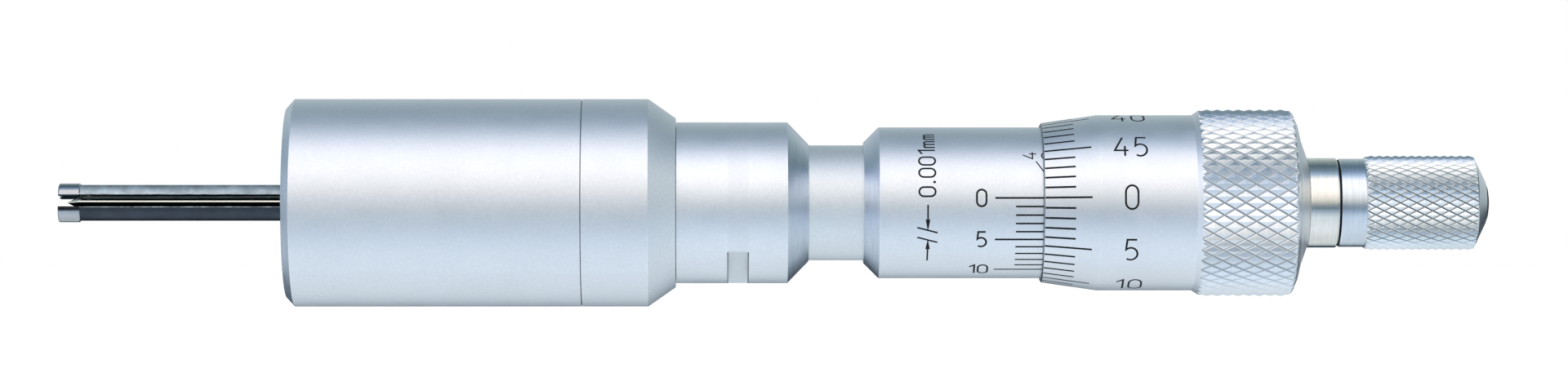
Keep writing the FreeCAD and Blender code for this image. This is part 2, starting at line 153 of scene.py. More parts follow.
# Engraving
INDEX_DEG = 3.7  # where the index line lies above the level
PROUD = 0.006
SUNK = 0.05
SLEEVE_STROKE = 0.20
THIMBLE_STROKE = 0.205
SHORT_STROKE = 0.18
UNIT_STROKE = 0.19
ARROW_STROKE = 0.165
SLASH_STROKE = 0.17
RANGE_STROKE = 0.135
VERNIER_STEP_DEG = 6.48
VERNIER_LONG = 72.3  # where the vernier's long and short lines start and all of them end
VERNIER_SHORT = 74.4
VERNIER_END = 79.0
THIMBLE_STEP_DEG = 7.2
THIMBLE_LINES = 50
THIMBLE_LONG_END = 82.1
THIMBLE_SHORT_END = 80.45
SLEEVE_FIGURE = 1.70
SLEEVE_FIGURES_AT = 70.92
THIMBLE_FIGURE = 2.42
THIMBLE_FIGURES_AT = 86.1
UNIT_FIGURE = 1.66
UNIT_AT = 65.42
RANGE_FIGURE = 1.35
RANGE_DEG = 38.4
MARK = 65.48  # station of the arrows beside the unit
POINT_WIDTH = 0.14  # a decimal point's cell, as a share of the figures' height
POINT_SIDES = 10
LONGEST_SPAN = 0.45  # strokes are divided so that they follow the turned surface
MITRE_LIMIT = 0.45
ARROW_TAPER = 0.86

# Mesh
ROUND_SIDES = 224
MERGE = 1e-7  # metres
TINY = 1e-6
SIDE_SHARE = 0.45  # a rounding takes at most this share of each side
FADE_SHARE = 0.49  # and its wear fades out within this share of it
FADE_LENGTH = 2.2  # or within this many times the rounding's reach, where that is less
ARC_END_WEAR = 0.55

# Looks
ROUGHNESS_SCALE = 420
WEAR_SCALE = 900
HOLLOW_SHADE = 0.55  # painted shade: what is left of the colour at the bottom of a groove
WORN_SMOOTHER = -0.12

# Surroundings
LAMP_AT = (0.03, -0.10, 0.60)
LAMP_AIM = (0.03, 0.0, 0.0)
LAMP_SIZE = (0.5, 0.3)
LAMP_WATTS = 1.2
LENS = 135.0
EYE_STATION = 44.26
EYE_DISTANCE = 603.5
AIM_STATION = 50.96
AIM_HEIGHT = 1.01
FLOOR_Z = -26.0
# What the floor gives off itself, by the distance from the object in metres, so that it stays white
# where the lamp's light falls away
FLOOR_LIFT = [
    (0.11, (0.31, 0.245, 0.17)),
    (0.18, (0.42, 0.35, 0.27)),
    (0.50, (0.52, 0.46, 0.38)),
    (1.00, (0.60, 0.54, 0.46)),
]
# The room's light by the direction's degrees above the level on the reading side: a softbox above that
# side, a dark gap over it, a pale table below and a dark horizon between
HEIGHT_LIGHT = [
    (-180, (0.55, 0.60, 0.66)),
    (-172, (0.02, 0.04, 0.06)),
    (-152, (0.03, 0.05, 0.07)),
    (-142, (0.42, 0.52, 0.60)),
    (-128, (0.74, 0.82, 0.89)),
    (-98, (0.77, 0.86, 0.93)),
    (-70, (0.86, 0.97, 1.10)),
    (-36, (0.74, 0.87, 1.02)),
    (-25, (0.46, 0.60, 0.76)),
    (-14, (0.18, 0.26, 0.36)),
    (-6, (0.34, 0.40, 0.44)),
    (8, (0.88, 0.90, 0.88)),
    (20, (1.20, 1.17, 1.16)),
    (32, (1.42, 1.38, 1.40)),
    (62, (1.45, 1.42, 1.47)),
    (69, (1.00, 1.08, 1.25)),
    (79, (0.42, 0.60, 0.84)),
    (92, (0.20, 0.30, 0.43)),
    (110, (0.11, 0.18, 0.23)),
    (130, (0.29, 0.39, 0.42)),
    (152, (0.56, 0.64, 0.66)),
    (180, (0.55, 0.60, 0.66)),
]
# How that light changes along the tool, by the direction's x
ACROSS_LIGHT = [
    (-1.0, (0.92, 0.98, 1.05)),
    (-0.90, (0.98, 1.04, 1.12)),
    (-0.55, (0.96, 0.98, 1.0)),
    (0.0, (1.0, 1.0, 1.0)),
    (0.55, (0.96, 0.98, 0.98)),
    (0.90, (0.46, 0.57, 0.57)),
    (1.0, (0.28, 0.38, 0.44)),
]


def place(x, r, a):
    """Station x, radius r, angle a in degrees above the level on the reading side."""
    t = math.radians(a)
    return ((x - GRIP) * MM, -r * math.cos(t) * MM, r * math.sin(t) * MM)


# Shader nodes

def feed(nt, value, socket):
    """Link another node's output to a socket, or set the socket to a number or colour."""
    if isinstance(value, bpy.types.NodeSocket):
        nt.links.new(value, socket)
    else:
        socket.default_value = value


def grey(value):
    return (value, value, value, 1)


def compute(nt, operation, *values):
    n = nt.nodes.new("ShaderNodeMath")
    n.operation = operation
    for value, socket in zip(values, n.inputs):
        feed(nt, value, socket)
    return n.outputs[0]


def mix_colour(nt, share, one, two, blend="MIX"):
    n = nt.nodes.new("ShaderNodeMixRGB")
    n.blend_type = blend
    feed(nt, share, n.inputs["Fac"])
    feed(nt, one, n.inputs["Color1"])
    feed(nt, two, n.inputs["Color2"])
    return n.outputs["Color"]


def noise_tex(nt, scale, detail=2.0, rough=0.6, stretch=None):
    source = nt.nodes.new("ShaderNodeTexCoord").outputs["Object"]
    if stretch:
        mapping = nt.nodes.new("ShaderNodeMapping")
        mapping.inputs["Scale"].default_value = stretch
        nt.links.new(source, mapping.inputs["Vector"])
        source = mapping.outputs["Vector"]
    n = nt.nodes.new("ShaderNodeTexNoise")
    n.inputs["Scale"].default_value = scale
    n.inputs["Detail"].default_value = detail
    n.inputs["Roughness"].default_value = rough
    nt.links.new(source, n.inputs["Vector"])
    return n.outputs["Fac"]


def ramp(nt, source, stops):
    r = nt.nodes.new("ShaderNodeValToRGB")
    while len(r.color_ramp.elements) < len(stops):
        r.color_ramp.elements.new(0.5)
    for element, (position, colour) in zip(r.color_ramp.elements, stops):
        element.position = position
        element.color = (*colour, 1)
    nt.links.new(source, r.inputs["Fac"])
    return r.outputs["Color"]


def to_range(nt, source, low, high, from_low=0.3, from_high=0.7):
    m = nt.nodes.new("ShaderNodeMapRange")
    m.inputs["From Min"].default_value = from_low
    m.inputs["From Max"].default_value = from_high
    m.inputs["To Min"].default_value = low
    m.inputs["To Max"].default_value = high
    nt.links.new(source, m.inputs["Value"])
    return m.outputs["Result"]


def add_bump(nt, source, distance, below=None):
    b = nt.nodes.new("ShaderNodeBump")
    b.inputs["Strength"].default_value = 1.0
    b.inputs["Distance"].default_value = distance
    nt.links.new(source, b.inputs["Height"])
    if below:
        nt.links.new(below, b.inputs["Normal"])
    return b.outputs["Normal"]


# Materials

def new_material(name):
    mat = bpy.data.materials.new(name)
    mat.use_nodes = True
    nt = mat.node_tree
    nt.nodes.clear()
    out = nt.nodes.new("ShaderNodeOutputMaterial")
    bsdf = nt.nodes.new("ShaderNodeBsdfPrincipled")
    nt.links.new(bsdf.outputs["BSDF"], out.inputs["Surface"])
    return mat, nt, bsdf


def shade_slot_side(nt, base, side, rim_painted_light, rim_width, limit=SLOT_HALF, least=0.15):
    """Paint shadow on the slot's face, and along its rim a line of painted shade (a dark rim colour) or
    painted highlight (a light one), broken where least is low.

    side is 1 for the upper arm and -1 for the lower one."""
    line_noise = (700, 3.0, 0.6, (1.0, 0.1, 0.1))
    # painted shadow for the slot's face
    slot_painted_shadow = (0.006, 0.008, 0.010, 1)
    reach = nt.nodes.new("ShaderNodeVectorMath")
    reach.operation = "DOT_PRODUCT"
    reach.inputs[1].default_value = (0, side * math.sin(SLOT_TILT) / MM, side * math.cos(SLOT_TILT) / MM)
    nt.links.new(nt.nodes.new("ShaderNodeTexCoord").outputs["Object"], reach.inputs[0])
    height = reach.outputs["Value"]
    # rim marks the painted line along the slot's rim; inside marks the slot's face that gets painted shadow
    rim = to_range(nt, height, 1.0, 0.0, limit + 0.6 * rim_width, limit + rim_width)
    gaps = to_range(nt, noise_tex(nt, *line_noise), least, 1.0, 0.38, 0.6)
    lined = mix_colour(nt, compute(nt, "MULTIPLY", rim, gaps), base, (*rim_painted_light, 1))
    inside = to_range(nt, height, 1.0, 0.0, limit + 0.004, limit + 0.012)
    return mix_colour(nt, inside, lined, slot_painted_shadow)


def metal(name, colour, rough, grain=None, brushed=None, vary=0.05, rough_vary=0.05, wear=0.12,
          specks=0.0, slot_light_paint=None, drift=120, edge_tint=1.0, hollow_shade=HOLLOW_SHADE):
    """A bare metal: slow colour drift, fine grain, turning marks, and polish along worn edges.

    grain and brushed are (scale per metre, height in mm)."""
    mat, nt, bsdf = new_material(name)
    bsdf.inputs["Metallic"].default_value = 1.0
    bsdf.inputs["Specular Tint"].default_value = grey(edge_tint)
    low = tuple(c * (1 - vary) for c in colour)
    high = tuple(min(1.0, c * (1 + vary)) for c in colour)
    base = ramp(nt, noise_tex(nt, drift, 3.0), [(0.3, low), (0.7, high)])
    roughness = to_range(nt, noise_tex(nt, ROUGHNESS_SCALE, 4.0), rough - rough_vary, rough + rough_vary)
    normal = None
    if grain:
        scale, height = grain
        normal = add_bump(nt, noise_tex(nt, scale, 2.5, 0.65), height * MM)
        speck = ramp(nt, noise_tex(nt, scale * 0.8, 1.0, 0.5),
                     [(0.30, (0.965,) * 3), (0.62, (1.0,) * 3), (0.78, (1.0 + specks,) * 3)])
        base = mix_colour(nt, 1.0, base, speck, "MULTIPLY")
    if brushed:
        scale, height = brushed
        marks = noise_tex(nt, scale, 3.0, 0.7, stretch=(1.0, 0.035, 0.035))
        normal = add_bump(nt, marks, height * MM, below=normal)
        streaks = ramp(nt, marks, [(0.25, (0.84, 0.84, 0.85)), (0.75, (1.06, 1.06, 1.06))])
        base = mix_colour(nt, 1.0, base, streaks, "MULTIPLY")
    # Worn edges, and painted shade in the grooves' hollows, from the weight that the turned pieces carry
    edge = nt.nodes.new("ShaderNodeAttribute")
    edge.attribute_name = "edge"
    patches = to_range(nt, noise_tex(nt, WEAR_SCALE, 3.0), 0.35, 1.0)
    worn = compute(nt, "MULTIPLY", edge.outputs["Fac"], patches)
    shade = to_range(nt, edge.outputs["Fac"], hollow_shade, 1.0, -1.0, 0.0)
    base = mix_colour(nt, 1.0, base, shade, "MULTIPLY")
    base = mix_colour(nt, worn, base, grey(wear), "ADD")
    # painted shadow on the slot's side, with a painted line of shade or highlight at its rim
    if slot_light_paint:
        base = shade_slot_side(nt, base, *slot_light_paint)
    nt.links.new(base, bsdf.inputs["Base Color"])
    nt.links.new(compute(nt, "MULTIPLY_ADD", worn, WORN_SMOOTHER, roughness), bsdf.inputs["Roughness"])
    if normal:
        nt.links.new(normal, bsdf.inputs["Normal"])
    return mat


def black_finish(name, colour, rough, grain, shine):
    mat, nt, bsdf = new_material(name)
    bsdf.inputs["Specular IOR Level"].default_value = shine
    fac = noise_tex(nt, grain, 3.0)
    dark = tuple(c * 0.7 for c in colour)
    light = tuple(c * 1.5 for c in colour)
    nt.links.new(ramp(nt, fac, [(0.3, dark), (0.75, light)]), bsdf.inputs["Base Color"])
    roughness = to_range(nt, noise_tex(nt, grain * 0.4, 3.0), rough - 0.08, rough + 0.08)
    nt.links.new(roughness, bsdf.inputs["Roughness"])
    nt.links.new(add_bump(nt, fac, 0.004 * MM), bsdf.inputs["Normal"])
    return mat


satin = metal("satin_chrome", (0.865, 0.875, 0.89), 0.48, grain=(4300, 0.0115), vary=0.015,
              rough_vary=0.02, specks=0.03)
satin_thimble = metal("satin_thimble", (0.87, 0.875, 0.89), 0.45, grain=(5000, 0.0075), vary=0.02,
                      rough_vary=0.03, specks=0.03)
machined = metal("machined_chrome", (0.76, 0.80, 0.86), 0.34, grain=(5200, 0.004), brushed=(9000, 0.0025),
                 vary=0.03, specks=0.03)
# Dark chrome as painted shade: the collar flats' end walls and the thimble's front edge.
recess_shade = metal("recess_chrome", (0.23, 0.26, 0.29), 0.40, grain=(5000, 0.003), wear=0.02)
knurl_metal = metal("knurled_chrome", (0.87, 0.88, 0.89), 0.32, grain=(5200, 0.003), vary=0.04, wear=0.06)
# The knob's grooves get deeper painted shade than the thimble's.
knob_metal = metal("knurled_knob", (0.84, 0.86, 0.86), 0.26, grain=(5200, 0.003), vary=0.05, wear=0.10,
                   hollow_shade=0.26)
polished = metal("polished_steel", (0.84, 0.81, 0.74), 0.07, grain=(2600, 0.0010), brushed=(6500, 0.0005),
                 vary=0.08, rough_vary=0.04)
brushed_hub = metal("brushed_hub", (0.72, 0.76, 0.80), 0.22, brushed=(8500, 0.003))
# The arms are one steel in a lit copy and a darker shaded copy. Both get painted shadow on the slot's face;
# the upper arm a painted dark line at its rim, the lower arm a painted highlight line.
arm_lit_copy = metal("arm_steel", (0.50, 0.565, 0.585), 0.58, grain=(1500, 0.006), vary=0.26, drift=700,
                  slot_light_paint=(1, (0.05, 0.045, 0.035), 0.06), edge_tint=0.12)
arm_shaded_copy = metal("arm_steel_shaded", (0.068, 0.080, 0.096), 0.44, grain=(4200, 0.005), vary=0.12, drift=500,
                 slot_light_paint=(-1, (0.80, 0.92, 0.92), 0.09), edge_tint=0.12)
jaw_metal = metal("ground_jaw", (0.47, 0.47, 0.48), 0.07, vary=0.05, rough_vary=0.02, drift=900, wear=0.05)
# The lower jaw's copy carries a band of painted dark reflection beside the slot.
lower_jaw_shaded = metal("ground_jaw_shaded", (0.47, 0.47, 0.48), 0.07, vary=0.05, rough_vary=0.02,
                        drift=900, wear=0.05, slot_light_paint=(-1, (0.035, 0.033, 0.04), 0.52, SLOT_HALF, 0.9))
# The needle's lower half is painted dark, as painted shade from the slot.
needle_metal = metal("needle_steel", (0.78, 0.78, 0.70), 0.13, brushed=(5000, 0.0008),
                     slot_light_paint=(1, (0.78, 0.78, 0.70), 0.01, -0.03))
satin_neck = metal("satin_neck", (0.85, 0.865, 0.865), 0.57, grain=(4300, 0.0115), vary=0.015,
                   rough_vary=0.02, specks=0.03)
inner_metal = metal("inner_steel", (0.52, 0.54, 0.56), 0.32, brushed=(6000, 0.003))
spring_metal = metal("spring_steel", (0.40, 0.41, 0.43), 0.30, grain=(5000, 0.003))
black_steel = black_finish("blackened_screw", (0.008, 0.009, 0.012), 0.40, 3000, shine=0.12)
ink = black_finish("engraving_fill", (0.010, 0.012, 0.014), 0.60, 5200, shine=0.2)
# Near-black finish for the ring that stands in for the shadow in the ratchet's gap.
gap_shadow = black_finish("dark_gap", (0.008, 0.009, 0.010), 0.7, 4000, shine=0.1)


# Turned pieces

def fillet(profile, steps=4):
    """Round the corners of a section given as (station, radius, corner radius), with a wear weight."""
    out = []
    n = len(profile)
    for i, (x, r, corner_r) in enumerate(profile):
        if corner_r <= 0 or i in (0, n - 1):
            out.append((x, r, 0.0))
            continue
        corner = Vector((x, r))
        before = Vector(profile[i - 1][:2])
        after = Vector(profile[i + 1][:2])
        u = (before - corner).normalized()
        v = (after - corner).normalized()
        angle = math.acos(max(-1, min(1, u.dot(v))))
        span_before = (before - corner).length
        span_after = (after - corner).length
        cut = min(corner_r / math.tan(angle / 2), SIDE_SHARE * span_before, SIDE_SHARE * span_after)
        arc_r = cut * math.tan(angle / 2)
        centre = corner + (u + v).normalized() * (arc_r / math.sin(angle / 2))
        first = corner + u * cut
        last = corner + v * cut
        start = math.atan2(first.y - centre.y, first.x - centre.x)
        turn = (math.atan2(last.y - centre.y, last.x - centre.x) - start + math.pi) % TAU - math.pi
        out.append((*(corner + u * min(cut * FADE_LENGTH, FADE_SHARE * span_before)), 0.0))
        for k in range(steps + 1):
            w = start + turn * k / steps
            out.append((centre.x + arc_r * math.cos(w), centre.y + arc_r * math.sin(w),
                        1.0 if 0 < k < steps else ARC_END_WEAR))
        out.append((*(corner + v * min(cut * FADE_LENGTH, FADE_SHARE * span_after)), 0.0))
    return out


def even(n, extra=()):
    """Angles evenly round the axis, with some more between them."""
    angles = [360.0 * k / n for k in range(n)] + [a % 360 for a in extra]
    return sorted(set(round(a, 6) for a in angles))


class Shape:
    """Points, faces and weights, for wear and for painted groove shade, that become one piece."""

    def __init__(self):
        self.verts = []
        self.faces = []
        self.edge = []

    def add(self, co, weight=0.0):
        self.verts.append(co)
        self.edge.append(weight)
        return len(self.verts) - 1

    def ring(self, x, radius, angles, weight=0.0):
        return [self.add(place(x, radius(a) if callable(radius) else radius, a), weight) for a in angles]

    def bridge(self, first, second):
        n = len(first)
        for i in range(n):
            j = (i + 1) % n
            self.faces.append((first[i], first[j], second[j], second[i]))

    def loft(self, profile, angles):
        """Rings along a section, joined one to the next."""
        rings = [self.ring(x, r, angles, w) for x, r, w in profile]
        for one, two in zip(rings, rings[1:]):
            self.bridge(one, two)
        return rings

    def lathe(self, profile, angles):
        """A closed section turned about the axis."""
        rings = self.loft(profile, angles)
        self.bridge(rings[-1], rings[0])

    def build(self, name, material, body, slot, replaces=(), sharp=30.0, trims=()):
        """Make the piece. trims are (from station, to station, material, largest radius if any)."""
        mesh = bpy.data.meshes.new(name)
        mesh.from_pydata(self.verts, [], self.faces)
        layer = mesh.attributes.new("edge", "FLOAT", "POINT")
        layer.data.foreach_set("value", self.edge)
        bm = bmesh.new()
        bm.from_mesh(mesh)
        bmesh.ops.remove_doubles(bm, verts=bm.verts, dist=MERGE)
        bmesh.ops.dissolve_degenerate(bm, edges=bm.edges, dist=MERGE)
        bmesh.ops.recalc_face_normals(bm, faces=bm.faces)
        bm.to_mesh(mesh)
        bm.free()
        mesh.shade_smooth()
        mesh.set_sharp_from_angle(angle=math.radians(sharp))
        obj = bpy.data.objects.new(name, mesh)
        bpy.context.scene.collection.objects.link(obj)
        mesh.materials.append(material)
        for front, back, other, *below in trims:
            mesh.materials.append(other)
            limit = below[0] if below else math.inf
            for face in mesh.polygons:
                reach = math.hypot(face.center.y, face.center.z) / MM
                if front < face.center.x / MM + GRIP < back and reach < limit:
                    face.material_index = len(mesh.materials) - 1
        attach(obj, body)
        if replaces:
            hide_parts(*replaces)


def front_shell():
    s = Shape()
    s.lathe(fillet([
        (FRONT_WALL, ARM_HOLE_R, 0), (0.0, ARM_HOLE_R, 0.12), (0.0, FACE_R, 0.10),
        (FRONT_CHAMFER_END, BARREL_R, 0.08), (SEAM - SEAM_HALF, BARREL_R, 0.03),
        (SEAM - SEAM_HALF, SEAM_FLOOR, 0), (SEAM, SEAM_FLOOR, 0), (SEAM, BARREL_BORE_R, 0),
        (FRONT_WALL, BARREL_BORE_R, 0)]), even(ROUND_SIDES))
    s.build("barrel_front", satin, body="barrel", replaces=("front_shell",), slot="satin_chrome",
            trims=((0.03, FRONT_CHAMFER_END - 0.04, machined),))


def rear_shell():
    s = Shape()
    s.lathe(fillet([
        (SEAM, REAR_SPIGOT_R, 0), (SEAM, SEAM_FLOOR, 0), (SEAM + SEAM_HALF, SEAM_FLOOR, 0),
        (SEAM + SEAM_HALF, BARREL_R, 0.03), (REAR_CONE_START, BARREL_R, 0.10), (REAR_END, REAR_END_R, 0.05),
        (REAR_END, REAR_BORE_R, 0), (REAR_LIP_BACK, REAR_BORE_R, 0), (REAR_LIP_BACK, REAR_LIP_R, 0),
        (REAR_LIP_FRONT, REAR_LIP_R, 0), (REAR_LIP_FRONT, REAR_SPIGOT_R, 0)]), even(ROUND_SIDES))
    s.build("barrel_rear", satin, body="barrel", replaces=("rear_shell",), slot="satin_chrome")


def flat_radius(a):
    """The collar's radius at an angle, where its two spanner flats are milled."""
    for middle in FLAT_DEG:
        d = (a - middle + 180) % 360 - 180
        if abs(d) < FLAT_HALF_DEG:
            return min(COLLAR_R, FLAT_FROM_AXIS / math.cos(math.radians(d)))
    return COLLAR_R


def coupling_collar():
    s = Shape()
    angles = even(240, [middle + k * FLAT_HALF_DEG for middle in FLAT_DEG for k in (-1, 1)])
    first_wall = FLAT_FRONT + FLAT_WALL
    last_wall = FLAT_BACK - FLAT_WALL
    front = fillet([
        (COLLAR_SPIGOT_START, COLLAR_SPIGOT_R, 0), (COLLAR_FRONT, COLLAR_SPIGOT_R, 0),
        (COLLAR_FRONT, COLLAR_R, 0.05), (FLAT_FRONT - 0.03, COLLAR_R, 0)])
    flats = [
        (FLAT_FRONT, COLLAR_R, 0.3), (first_wall, flat_radius, 0), (first_wall + FLAT_ROW, flat_radius, 0),
        (last_wall - FLAT_ROW, flat_radius, 0), (last_wall, flat_radius, 0), (FLAT_BACK, COLLAR_R, 0.3)]
    back = fillet([
        (FLAT_BACK + 0.03, COLLAR_R, 0), (COLLAR_CHAMFER_START, COLLAR_R, 0.05),
        (COLLAR_END, COLLAR_END_R, 0.03), (COLLAR_END, COLLAR_BORE_R, 0),
        (COLLAR_SPIGOT_START, COLLAR_BORE_R, 0)])
    s.lathe(front[:-1] + flats + back[1:], angles)
    s.build("collar", satin, body="barrel", replaces=("coupling_collar",), slot="turned_steel",
            trims=((COLLAR_CHAMFER_START + 0.03, COLLAR_END + 0.06, machined),
                   # The flats' end walls get the dark chrome of painted shade.
                   (FLAT_FRONT + 0.01, first_wall - 0.01, recess_shade, COLLAR_R - 0.02),
                   (last_wall + 0.01, FLAT_BACK - 0.01, recess_shade, COLLAR_R - 0.02)))


def graduated_sleeve():
    s = Shape()
    s.lathe(fillet([
        (SLEEVE_FRONT, SLEEVE_BORE_R, 0), (SLEEVE_FRONT, SLEEVE_FRONT_R, 0.04),
        (SLEEVE_SHOULDER, SLEEVE_R, 0.05), (SLEEVE_END, SLEEVE_R, 0), (SLEEVE_END, SLEEVE_BORE_R, 0)]),
        even(ROUND_SIDES))
    s.build("sleeve", satin, body="barrel", replaces=("graduated_sleeve",), slot="satin_chrome",
            trims=((SLEEVE_FRONT - 0.1, SLEEVE_SHOULDER - 0.03, machined),))


# Knurled pieces

def from_line(value):
    """How far a place is from the nearest groove line, from 0 on it to 1 halfway between two."""
    return 2.0 * abs(value - round(value))


def knurled(name, profile_front, profile_back, body_radius, crest_r, grip, **build):
    """A turned piece with a diamond grip: crossed grooves that run out where the body falls away.

    grip is (start, end, pitch, diamonds round, groove depth)."""
    start, end, pitch, starts, depth = grip
    cols = starts * KNURL_STEPS
    step = pitch / KNURL_STEPS
    rows = int((end - start) / step)
    angles = [360.0 * k / cols for k in range(cols)]
    s = Shape()
    front_rings = s.loft(profile_front, angles)

    def vertex(row, col):
        """A place on the grip; whole rows and columns are corners, half ones the middles of cells."""
        x = start + row * step
        one = from_line((row + col) / KNURL_STEPS)
        two = from_line((row - col) / KNURL_STEPS)
        low = min(one, two)
        in_groove = low < TINY
        cut = depth * (1.0 - low) + (GROOVE_BITE * depth if in_groove else 0.0)
        body = body_radius(x)
        radius = min(body, crest_r - cut)
        weight = 0.0
        # Groove vertices get a negative weight, which becomes painted shade in the hollow; crest vertices a
        # positive one, which becomes wear.
        if radius < body - TINY and in_groove:
            weight = -1.0 if one < TINY else -CROSSING_SHADE
        elif low > CREST_SHARE:
            weight = 1.0
        return s.add(place(x, radius, 360.0 * col / cols), weight)

    first = previous = [vertex(0, col) for col in range(cols)]
    for row in range(1, rows + 1):
        ring = [vertex(row, col) for col in range(cols)]
        middle = [vertex(row - 0.5, col + 0.5) for col in range(cols)]
        for i in range(cols):
            j = (i + 1) % cols
            s.faces.extend([
                (previous[i], previous[j], middle[i]), (previous[j], ring[j], middle[i]),
                (ring[j], ring[i], middle[i]), (ring[i], previous[i], middle[i])])
        previous = ring
    s.bridge(front_rings[-1], first)
    back_rings = s.loft(profile_back, angles)
    s.bridge(previous, back_rings[0])
    s.bridge(back_rings[-1], front_rings[0])
    s.build(name, sharp=KNURL_SHARP, **build)


def rounded_end(x, radius, start, length, drop):
    """A grip's radius, which falls away in a quarter ellipse from a station on."""
    t = min(1.0, max(0.0, (x - start) / length))
    return radius - drop * (1 - math.sqrt(1 - t * t))


def shoulder(x, x0, r0, x1, r1):
    """The radius of a cone between two stations."""
    return r0 + (r1 - r0) * (x - x0) / (x1 - x0)


def thimble_grip(x):
    if x < GRIP_FRONT - TINY:
        return shoulder(x, SHOULDER_FRONT, THIMBLE_R, GRIP_FRONT, GRIP_R)
    return rounded_end(x, GRIP_R - CREST_DROP, *GRIP_ROUNDING)


def knob_grip(x):
    if x < KNOB_FRONT - TINY:
        return shoulder(x, HUB_END, HUB_R, KNOB_FRONT, KNOB_R)
    return rounded_end(x, KNOB_R - CREST_DROP, *KNOB_ROUNDING)


def thimble_shell():
    before_grip = GRIP_START - 0.02
    front = fillet([
        (THIMBLE_BORE_END, THIMBLE_BORE_R, 0), (THIMBLE_FRONT - 0.02, THIMBLE_BORE_R, 0.0),
        (THIMBLE_FRONT - 0.06, THIMBLE_LIP_R, 0.02), (THIMBLE_FRONT + 0.07, THIMBLE_FRONT_R + 0.01, 0.02),
        (THIMBLE_BEVEL_END, THIMBLE_R, 0.25), (SHOULDER_FRONT, THIMBLE_R, 0.06),
        (before_grip, thimble_grip(before_grip), 0)])
    back = fillet([
        (GRIP_END + 0.05, GRIP_END_R, 0), (THIMBLE_EDGE_END, THIMBLE_EDGE_R, 0.10),
        (THIMBLE_BACK_BEND, THIMBLE_BACK_R, 0.15), (THIMBLE_END, THIMBLE_END_R, 0.05),
        (THIMBLE_END, THIMBLE_HOLE_R, 0), (THIMBLE_BORE_END, THIMBLE_HOLE_R, 0)])
    knurled(
        "thimble_shell", front, back, thimble_grip, GRIP_R - CREST_DROP,
        (GRIP_START, GRIP_END, GRIP_PITCH, GRIP_STARTS, GRIP_DEPTH),
        material=satin_thimble, body="thimble", replaces=("thimble",), slot="satin_chrome",
        trims=((GRIP_START, GRIP_END + 0.15, knurl_metal),
               # the front edge's narrow chamfer in the dark chrome of painted shade
               (THIMBLE_FRONT - 0.13, THIMBLE_FRONT + 0.05, recess_shade)))


def knob_shell():
    front = fillet([
        (KNOB_CAVITY_END, KNOB_CAVITY_R, 0), (HUB_FRONT, KNOB_CAVITY_R, 0), (HUB_FRONT, HUB_R, 0.12),
        (HUB_END, HUB_R, 0.03), (HUB_END + 0.07, HUB_R + 0.055, 0)])
    back = fillet([
        (KNOB_GRIP_END + 0.02, KNOB_GRIP_END_R, 0), (KNOB_EDGE_END, KNOB_EDGE_R, 0.06),
        (KNOB_END, KNOB_MOUTH_R + 0.10, 0.06), (KNOB_END, KNOB_MOUTH_R, 0), (KNOB_FLOOR, KNOB_MOUTH_R, 0),
        (KNOB_FLOOR, KNOB_STEM_R, 0), (KNOB_CAVITY_END, KNOB_STEM_R, 0)])
    knurled(
        "knob_shell", front, back, knob_grip, KNOB_R - CREST_DROP,
        (KNOB_START, KNOB_GRIP_END, KNOB_PITCH, KNOB_STARTS, KNOB_DEPTH),
        material=knob_metal, body="ratchet", replaces=("ratchet_knob",), slot="turned_steel",
        trims=((HUB_FRONT - 0.05, HUB_END + 0.06, brushed_hub),))


def ratchet_seal():
    """A dark ring in the gap between the ratchet's neck and its knob, standing in for the gap's shadow."""
    s = Shape()
    s.lathe(fillet([
        (GAP_RING_FRONT, GAP_RING_BORE_R, 0), (GAP_RING_FRONT, GAP_RING_R, 0.02), (GAP_RING_BACK, GAP_RING_R, 0.02),
        (GAP_RING_BACK, GAP_RING_BORE_R, 0)]), even(96))
    s.build("ratchet_seal", gap_shadow, body="thimble", slot="black_screw")


# Engraved scales

def sleeve_surface(x):
    return SLEEVE_R


def thimble_surface(x):
    if x < THIMBLE_BEVEL_END:
        return shoulder(x, THIMBLE_FRONT, THIMBLE_FRONT_R, THIMBLE_BEVEL_END, THIMBLE_R)
    return THIMBLE_R


